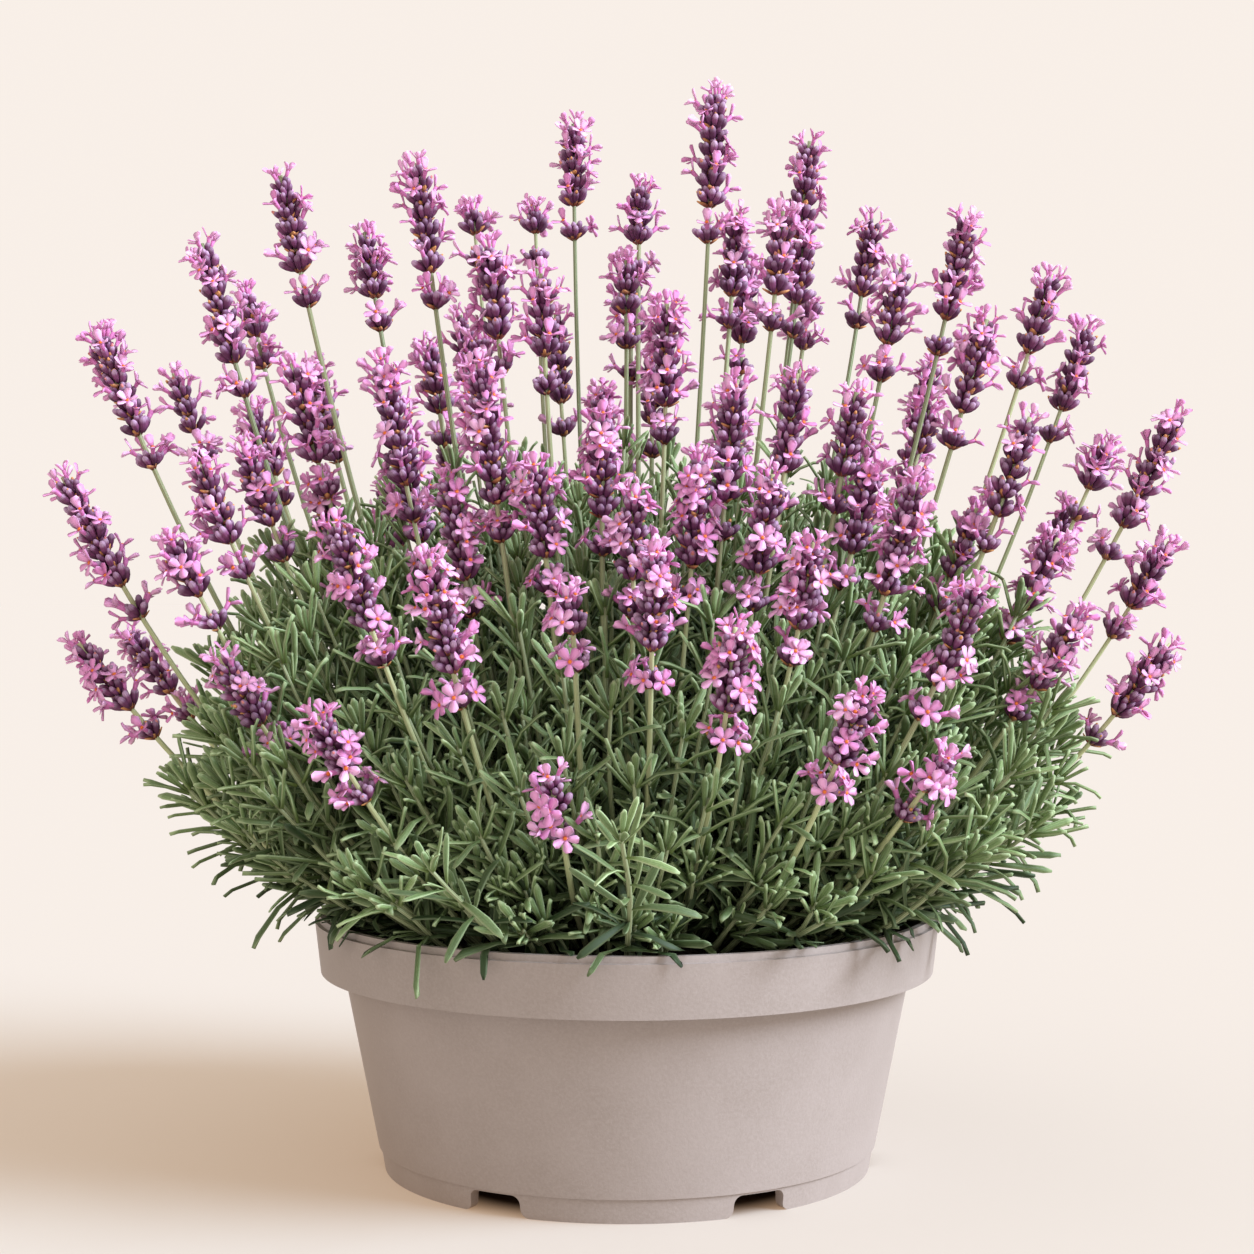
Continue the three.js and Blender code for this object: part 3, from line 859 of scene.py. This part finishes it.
class LAVENDER_PG_plant(bpy.types.PropertyGroup):
    """Sizes of the plant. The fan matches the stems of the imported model."""

    height: metres("Height", "Height of the tallest flower", 0.403)
    spread: metres("Spread", "Reach of a stem of share 1 at the full height", 0.322)
    root_ring: metres("Root Ring", "Reach of a stem of share 1 at the soil", 0.086)
    soil_height: metres("Soil Height", "Height of the soil at the wall", 0.086)
    fan_depth: metres("Fan Depth", "How far below the soil the fan springs from", 0.024)
    fan_curve: number("Fan Curve", "How soon the stems lean out, sooner when lower", 0.45)
    mound_height: metres("Mound Height", "Height of the leaves in the middle", 0.256)
    mound_shoots: whole("Mound Shoots", "Places for leafy shoots in the mound", 390)
    deep_shoots: whole("Deep Shoots", "Plainer leafy shoots that fill the mound inside", 130)
    rim_shoots: whole("Rim Shoots", "Low leafy shoots round the rim", 22)
    back_stems: whole("Back Stems", "Flowering stems that fill the back", 14)


class LAVENDER_PG_colours(bpy.types.PropertyGroup):
    """Colours of the finishes."""

    # The darkest leaf colour: old leaves, and painted shade deep in the mound and in the crease.
    old_leaf_and_painted_shade: colour("Leaf Shade", "Oldest leaves and the crease", (0.024, 0.05, 0.012))
    leaf_pale: colour("Leaf", "Youngest leaves", (0.21, 0.315, 0.11))
    # Felted leaf edges, with a painted highlight on their rolled rims.
    leaf_felt_and_highlight: colour("Leaf Edge", "Felted edges", (0.5, 0.61, 0.34))
    leaf_root: colour("Leaf Root", "Root of a leaf", (0.15, 0.22, 0.045))
    stalk_dark: colour("Stalk Shade", "Darkest stalks", (0.15, 0.2, 0.09))
    stalk_pale: colour("Stalk", "Palest stalks", (0.58, 0.62, 0.31))
    stalk_rib: colour("Stalk Rib", "Ribs of a stalk", (0.66, 0.67, 0.42))
    stalk_wood: colour("Stalk Foot", "Woody foot of a stalk", (0.11, 0.085, 0.035))
    # Deep calyx tone, and painted shade at the root and in the grooves of a calyx.
    calyx_deep_and_painted_shade: colour("Calyx Shade", "Root and grooves of a calyx", (0.085, 0.015, 0.06))
    calyx_warm: colour("Calyx", "Middle of a calyx", (0.24, 0.065, 0.17))
    # Felted calyx tip, with a painted sheen.
    calyx_felt_and_sheen: colour("Calyx Tip", "Felted tip of a calyx", (0.56, 0.38, 0.55))
    petal: colour("Petal", "Deepest petals", (0.79, 0.29, 0.6))
    petal_pale: colour("Petal Pale", "Palest petals", (0.94, 0.53, 0.8))
    petal_deep: colour("Petal Root", "Tube and midline of a petal", (0.6, 0.17, 0.42))
    throat: colour("Throat", "Throat of a flower", (0.75, 0.17, 0.02))
    bract_dark: colour("Bract Root", "Root of a bract", (0.22, 0.06, 0.03))
    bract_pale: colour("Bract", "Tip of a bract", (0.66, 0.3, 0.1))
    bud: colour("Bud", "Flower buds", (0.6, 0.2, 0.2))
    pot_dark: colour("Pot Shade", "Darker mottle of the pot", (0.32, 0.265, 0.235))
    pot_pale: colour("Pot", "Paler mottle of the pot", (0.355, 0.297, 0.268))
    pot_speck: colour("Pot Speck", "Grain of the pot", (0.415, 0.35, 0.32))
    # Painted shade in the hollows of the soil.
    soil_hollow_shade: colour("Soil Shade", "Hollows in the soil", (0.008, 0.005, 0.003))
    soil_pale: colour("Soil", "Crumbs of the soil", (0.05, 0.03, 0.018))


class LAVENDER_PG_stage(bpy.types.PropertyGroup):
    """Light and floor."""

    air: colour("Air", "Light from all round", (0.943, 0.866, 0.806))
    glow: colour("Glow", "Light of the floor's own, which keeps shadows pale", (0.36, 0.225, 0.135))
    # Painted contact shadow on the floor under the pot
    painted_pot_shadow: colour("Under Pot", "Floor under the pot", (0.12, 0.08, 0.055))
    floor_radius: metres("Floor Radius", "Radius of the floor", 12)
    sun: number("Sun", "Strength of the soft sun beside the air", 1.62)
    sun_tint: colour("Sun Tint", "Colour of the soft sun", (0.86, 0.98, 1.16))
    sun_height: degrees("Sun Height", "Angle over the floor", 36)
    sun_turn: degrees("Sun Turn", "Angle from the front to the right", 71)
    sun_width: degrees("Sun Width", "Angle across the sun, which softens shadows", 34)
    lens: number("Lens", "Focal length in mm", 70.4)
    camera_distance: metres("Camera Distance", "From the axis of the pot", 0.908)
    camera_height: metres("Camera Height", "Over the floor", 0.222)
    camera_dip: degrees("Camera Dip", "How far the camera looks down", 1.4897)


# Making each piece


def settle(piece, slot, *nodes):
    """Fixes a piece to the model's one body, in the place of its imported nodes."""
    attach(piece, "root")
    if nodes:
        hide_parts(*nodes)


def object_of(name, points, faces):
    """A mesh object whose faces look outwards."""
    data = bpy.data.meshes.new(name)
    data.from_pydata([tuple(p) for p in points], [], [tuple(f) for f in faces])
    shape = bmesh.new()
    shape.from_mesh(data)
    bmesh.ops.recalc_face_normals(shape, faces=shape.faces)
    shape.to_mesh(data)
    shape.free()
    piece = bpy.data.objects.new(name, data)
    bpy.context.scene.collection.objects.link(piece)
    return piece


def lathe(name, outline, sides):
    """A closed solid turned round Z from (radius, height) points that start and end on the axis."""
    turn = 2 * np.pi * np.arange(sides) / sides
    rings = np.array([
        [(r * math.cos(a), r * math.sin(a), z) for a in turn] for r, z in outline[1:-1]
    ])
    points = [*rings.reshape(-1, 3), (0, 0, outline[0][1]), (0, 0, outline[-1][1])]
    faces = []
    first, last, end = len(points) - 2, len(points) - 1, (len(rings) - 1) * sides
    for k in range(sides):
        after = (k + 1) % sides
        faces.append((first, after, k))
        for r in range(0, end, sides):
            faces.append((r + k, r + after, r + sides + after, r + sides + k))
        faces.append((last, end + k, end + after))
    return object_of(name, points, faces)


def baked(piece):
    """Makes a piece's modifiers part of its mesh."""
    graph = bpy.context.evaluated_depsgraph_get()
    data = bpy.data.meshes.new_from_object(piece.evaluated_get(graph))
    old = piece.data
    piece.modifiers.clear()
    piece.data = data
    bpy.data.meshes.remove(old)
    data.name = piece.name


def smooth(piece):
    piece.data.polygons.foreach_set("use_smooth", np.ones(len(piece.data.polygons), bool))


def notch_cutter(pot, azimuth, length=0.12):
    """A bar laid across the pot's foot, with rounded upper corners and a flare at its foot."""
    half, corner, height = pot.notch_width / 2, pot.notch_corner, pot.notch_height
    quarter = np.radians(range(0, 91, 15))
    outline = [(-half - corner, -0.001), (half + corner, -0.001)]
    outline += [(half + corner * (1 - math.sin(a)), corner * (1 - math.cos(a))) for a in quarter]
    for centre, start in ((half - corner, 0), (corner - half, math.pi / 2)):
        for a in start + quarter:
            outline.append((centre + corner * math.cos(a), height - corner + corner * math.sin(a)))
    outline += [(-half - corner * (1 - math.cos(a)), corner * (1 - math.sin(a))) for a in quarter]
    count = len(outline)
    along = np.array([math.sin(azimuth), -math.cos(azimuth), 0])
    across = np.array([math.cos(azimuth), math.sin(azimuth), 0])
    points = [end * length * along + s * across + z * UP for end in (-1, 1) for s, z in outline]
    faces = [tuple(range(count)), tuple(range(2 * count - 1, count - 1, -1))]
    faces += [(k, k + count, (k + 1) % count + count, (k + 1) % count) for k in range(count)]
    return object_of("cutter", points, faces)


class LAVENDER_OT_pot(bpy.types.Operator):
    """Make the pot: a banded bowl on a notched foot ring"""

    bl_idname = "lavender.pot"
    bl_label = "Pot"

    def execute(self, context):
        pot = context.scene.lavender_pot
        top, rim, wall, foot = pot.height, pot.rim_radius, pot.wall, pot.foot_radius
        band, low, high = top - pot.band_height, pot.floor_height, pot.floor_height + 0.0026
        # From the middle of the underside, out over the foot ring and the band, and down inside
        outline = [
            (0, low), (foot - 0.004, low), (foot - 0.004, 0), (foot, 0), (foot + 0.0015, low),
            (foot + 0.0023, low + 0.0002), (foot + 0.0049, 0.022), (rim - 0.0105, band),
            (rim - 0.0021, band), (rim, top - 0.0024), (rim - 0.0014, top - 0.0022),
            (rim - 0.0016, top), (rim - 0.004, top), (rim - 0.0045, band + wall),
            (rim - 0.0129, band + wall), (foot - 0.0001, high), (0, high),
        ]
        piece = lathe("pot_shell", outline, pot.sides)
        cutters = [notch_cutter(pot, math.radians(30 + 60 * k)) for k in range(3)]
        for k in range(7):
            out = pot.hole_ring if k else 0
            turn = 2 * math.pi * k / 6
            side, tall = pot.hole_radius, 0.02
            hole = lathe("cutter", [(0, 0), (side, 0), (side, tall), (0, tall)], 32)
            hole.location = (out * math.cos(turn), out * math.sin(turn), 0)
            cutters.append(hole)
        for cutter in cutters:
            cut = piece.modifiers.new("cut", "BOOLEAN")
            cut.operation = "DIFFERENCE"
            cut.solver = "EXACT"
            cut.object = cutter
        bevel = piece.modifiers.new("edges", "BEVEL")
        bevel.width = pot.bevel
        bevel.segments = 3
        bevel.angle_limit = math.radians(32)
        context.view_layer.update()
        baked(piece)
        for cutter in cutters:
            bpy.data.objects.remove(cutter)
        smooth(piece)
        piece.data.set_sharp_from_angle(angle=math.radians(38))
        piece.data.materials.clear()
        piece.data.materials.append(finish_named("pot"))
        settle(piece, "pot", "pot")
        return {"FINISHED"}


class LAVENDER_OT_soil(bpy.types.Operator):
    """Make the soil: a low dome of crumbs that fills the pot"""

    bl_idname = "lavender.soil"
    bl_label = "Soil"

    def execute(self, context):
        chance = np.random.default_rng(5)
        edge = context.scene.lavender_plant.soil_height
        dome, reach = 0.003, 0.1095
        # From the middle of the underside, up beside the wall, over its step, and in over the top
        outline = [
            (0, 0.0114), (0.0892, 0.0114), (0.1018, 0.0757), (0.1102, 0.0757),
            (0.1102, edge - 0.001),
        ]
        rings = np.linspace(reach, 0.004, 44)
        outline += [(r, edge + dome * (1 - (r / 0.11) ** 2)) for r in rings]
        outline.append((0, edge + dome))
        piece = lathe("soil_bed", outline, 160)
        points = np.array([v.co for v in piece.data.vertices])
        x, y, z = points.T
        lumps = np.zeros(len(points))
        for waves in (90, 190, 420, 800):
            for _ in range(4):
                turn, shift = chance.uniform(0, np.pi), chance.uniform(0, 2 * np.pi)
                lumps += np.sin(waves * (x * math.cos(turn) + y * math.sin(turn)) + shift) / waves
        top = (z > edge - 0.0012) & (np.hypot(x, y) < reach)
        points[top, 2] += 0.045 * lumps[top] + chance.normal(0, 0.0004, int(top.sum()))
        piece.data.vertices.foreach_set("co", points.astype(np.float32).ravel())
        smooth(piece)
        piece.data.materials.append(finish_named("soil"))
        settle(piece, "soil", "soil")
        return {"FINISHED"}


def read_stem(name):
    """A packed stem's azimuth, share and tip height."""
    points = np.array([v.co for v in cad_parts[name].data.vertices])
    tip = points[points[:, 2].argmax()]
    share = np.hypot(tip[0], tip[1]) / fan_reach(1.0, tip[2])
    return math.degrees(math.atan2(tip[0], -tip[1])), share, tip[2]


class LAVENDER_OT_flower_stems(bpy.types.Operator):
    """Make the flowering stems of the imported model"""

    bl_idname = "lavender.flower_stems"
    bl_label = "Flowering Stems"

    def execute(self, context):
        names = sorted(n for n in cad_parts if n.startswith("flower_stem"))
        for k, (name, spike_length) in enumerate(zip(names, SPIKES, strict=True)):
            bed = Bed(100 + k)
            flowering_stem(bed, *read_stem(name), spike_length / 1000)
            settle(bed.mesh(name.replace("flower_stem", "lavender_stem")), "flower", name)
        return {"FINISHED"}


class LAVENDER_OT_more_flowers(bpy.types.Operator):
    """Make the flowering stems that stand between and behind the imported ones"""

    bl_idname = "lavender.more_flowers"
    bl_label = "More Flowering Stems"

    def execute(self, context):
        plant = context.scene.lavender_plant
        chance = np.random.default_rng(77)
        rows = list(MORE_STEMS)
        for k in range(plant.back_stems):
            middle = (plant.back_stems - 1) / 2
            azimuth = 180 + (k - middle) * 130 / plant.back_stems + chance.normal(0, 4)
            share = (0.28, 0.5, 0.64)[k % 3] + chance.normal(0, 0.02)
            height = 0.90 - 0.38 * share + chance.normal(0, 0.03)
            rows.append((azimuth, share, height, chance.uniform(42, 56)))
        for group in range(8):
            bed = Bed(300 + group)
            for azimuth, share, height, spike_length in rows[group::8]:
                flowering_stem(bed, azimuth, share, height * plant.height, spike_length / 1000)
            settle(bed.mesh(f"more_stems_{group + 1:02d}"), "flower")
        return {"FINISHED"}


class LAVENDER_OT_leafy_shoots(bpy.types.Operator):
    """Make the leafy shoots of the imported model, with their leaves spread over the rim"""

    bl_idname = "lavender.leafy_shoots"
    bl_label = "Leafy Shoots"

    def execute(self, context):
        names = sorted(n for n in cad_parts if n.startswith("leafy_shoot"))
        for k, name in enumerate(names):
            low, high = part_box(name)
            middle = (low + high) / 2
            bed = Bed(500 + k)
            azimuth = math.degrees(math.atan2(middle.x, -middle.y))
            leafy_shoot(bed, azimuth, 1.0, high.z - 0.012)
            settle(bed.mesh(name.replace("leafy", "lavender")), "leaf", name)
        return {"FINISHED"}


# How far the tips of the mound may stand from the axis, and how far forward, at each height.
# It keeps the mound inside the side flowers and behind the front ones.
SHELL_HEIGHTS = [0.100, 0.130, 0.150, 0.180, 0.200, 0.226, 0.250]
SHELL_REACHES = [0.124, 0.166, 0.160, 0.150, 0.140, 0.126, 0.092]
FACE_DEPTHS = [0.106, 0.088, 0.079, 0.068, 0.054, 0.037, 0.022]
BACK_DEPTH = -0.16


def free_height(plant, chance, azimuth, share):
    """The greatest height up to which a shoot keeps inside the mound, or None."""
    dome = plant.mound_height - 0.09 * share ** 2.1 + chance.normal(0, 0.008)
    heights = np.linspace(0.1, dome, 60)
    reach = fan_reach(share, heights)
    depth = reach * math.cos(math.radians(azimuth))
    shell = np.interp(heights, SHELL_HEIGHTS, SHELL_REACHES) * chance.uniform(0.93, 1.06)
    face = np.interp(heights, SHELL_HEIGHTS, FACE_DEPTHS)
    free = (reach < shell) & (depth < face) & (depth > BACK_DEPTH)
    return heights[free].max() if free.any() else None


class LAVENDER_OT_mound(bpy.types.Operator):
    """Make the mound of leafy shoots, and the leaves that hang over the rim"""

    bl_idname = "lavender.mound"
    bl_label = "Mound of Leaves"

    def execute(self, context):
        plant = context.scene.lavender_plant
        chance = np.random.default_rng(11)
        beds = [Bed(700 + k) for k in range(8)]

        def grow(azimuth, *shoot):
            leafy_shoot(beds[int(azimuth % 360 // 45)], azimuth, *shoot)

        for k in range(plant.mound_shoots):
            azimuth = (EVEN_TURN * k + chance.normal(0, 4)) % 360
            share = 1.07 * math.sqrt((k + 0.5) / plant.mound_shoots)
            height = free_height(plant, chance, azimuth, share)
            # The outermost shoots are thinned out, so that the rim of the mound is loose.
            if height is None or share > 0.75 and chance.random() < 0.42:
                continue
            reach = 0.07 + 0.035 * (share > 0.7)
            # Shoots further out and lower take darker tones, a painted shade.
            tone = 3.7 - 0.9 * share + chance.normal(0, 0.6)
            size, spread = 18 + 8 * share, 44 + 10 * share
            grow(azimuth, share, height, reach, tone, size, 0.3, spread, SMALL_LEAF)
        for k in range(plant.deep_shoots):
            share = 0.78 * math.sqrt((k + 0.5) / plant.deep_shoots)
            azimuth = (360 - EVEN_TURN) * k % 360
            front = max(0.0, math.cos(math.radians(azimuth)))
            height = 0.238 - 0.10 * share ** 2 - 0.07 * share * front
            # The deep shoots take dark tones, a painted shade inside the mound.
            grow(azimuth, share, height, 0.115, 2.4, 25, 0.0, 52, SMALL_LEAF, 0.0095)
        for k in range(plant.rim_shoots):
            azimuth = (360 / plant.rim_shoots) * (k + 0.5) + chance.normal(0, 3)
            height = chance.uniform(0.1, 0.112)
            grow(azimuth, chance.uniform(0.8, 0.92), height, 0.03, 3.6, 18)
        for k, bed in enumerate(beds):
            settle(bed.mesh(f"leaf_mound_{k + 1:02d}"), "leaf")
        return {"FINISHED"}


class LAVENDER_OT_stage(bpy.types.Operator):
    """Make the pale floor, the soft light and the camera"""

    bl_idname = "lavender.stage"
    bl_label = "Stage"

    def execute(self, context):
        scene = context.scene
        stage = scene.lavender_stage
        sides, radius = 96, stage.floor_radius
        turn = 2 * np.pi * np.arange(sides) / sides
        rim = [(radius * math.cos(a), radius * math.sin(a), 0) for a in turn]
        floor = object_of("floor", rim, [tuple(range(sides))])
        # The floor under sun and sky is as bright as the sky, so no edge shows between them.
        rows = list(zip(stage.air, stage.glow, stage.sun_tint))
        fall = stage.sun * math.sin(stage.sun_height)
        tint = [(air - glow) / (air + fall * sun) for air, glow, sun in rows]
        paper = Finish("paper", Roughness=1.0, Specular_IOR_Level=0.0, Emission_Strength=1.0)
        # Under the pot the floor carries a painted contact shadow and gives off no light. It turns
        # to the open floor between two radii.
        dark_radius, light_radius = 0.072, 0.092
        settings, inputs = {"operation": "LENGTH"}, {"Vector": paper.place()}
        out = paper.node("ShaderNodeVectorMath", settings, inputs, "Value")
        clear = paper.between(out, dark_radius, light_radius)
        paper.feed("Base Color", paper.mix(clear, stage.painted_pot_shadow, tint))
        paper.feed("Emission Color", paper.mix(clear, (0, 0, 0), stage.glow))
        floor.data.materials.append(paper.material)

        world = bpy.data.worlds.new("studio")
        world.use_nodes = True
        world.node_tree.nodes["Background"].inputs["Color"].default_value = (*stage.air, 1)
        scene.world = world

        light = bpy.data.lights.new("sun", "SUN")
        light.energy = stage.sun * math.pi
        light.color = stage.sun_tint
        light.angle = stage.sun_width
        sun = bpy.data.objects.new("sun", light)
        sun.rotation_euler = (math.pi / 2 - stage.sun_height, 0, stage.sun_turn)
        scene.collection.objects.link(sun)

        lens = bpy.data.cameras.new("camera")
        lens.lens = stage.lens
        lens.clip_start = 0.02
        camera = bpy.data.objects.new("camera", lens)
        camera.location = (0, -stage.camera_distance, stage.camera_height)
        camera.rotation_euler = (math.pi / 2 - stage.camera_dip, 0, 0)
        scene.collection.objects.link(camera)
        scene.camera = camera
        scene.view_settings.view_transform = "Standard"
        return {"FINISHED"}


class LAVENDER_PT_panel(bpy.types.Panel):
    """Lists the pieces of the lavender"""

    bl_idname = "LAVENDER_PT_panel"
    bl_label = "Potted Lavender"
    bl_space_type = "VIEW_3D"
    bl_region_type = "UI"
    bl_category = "Lavender"

    def draw(self, context):
        for step in STEPS:
            self.layout.operator(step.bl_idname)
        for group, kind in GROUPS.items():
            box = self.layout.box()
            for name in kind.__annotations__:
                box.prop(getattr(context.scene, group), name)


GROUPS = {
    "lavender_pot": LAVENDER_PG_pot,
    "lavender_plant": LAVENDER_PG_plant,
    "lavender_colours": LAVENDER_PG_colours,
    "lavender_stage": LAVENDER_PG_stage,
}
STEPS = [
    LAVENDER_OT_stage,
    LAVENDER_OT_pot,
    LAVENDER_OT_soil,
    LAVENDER_OT_flower_stems,
    LAVENDER_OT_more_flowers,
    LAVENDER_OT_leafy_shoots,
    LAVENDER_OT_mound,
]


def register():
    for name, group in GROUPS.items():
        bpy.utils.register_class(group)
        setattr(bpy.types.Scene, name, PointerProperty(type=group))
    for kind in (*STEPS, LAVENDER_PT_panel):
        bpy.utils.register_class(kind)


def unregister():
    for kind in (LAVENDER_PT_panel, *reversed(STEPS)):
        bpy.utils.unregister_class(kind)
    for name, group in reversed(GROUPS.items()):
        delattr(bpy.types.Scene, name)
        bpy.utils.unregister_class(group)


def main():
    """Makes every piece."""
    register()
    for step in STEPS:
        area, name = step.bl_idname.split(".")
        getattr(getattr(bpy.ops, area), name)()


if __name__ == "__main__":
    main()
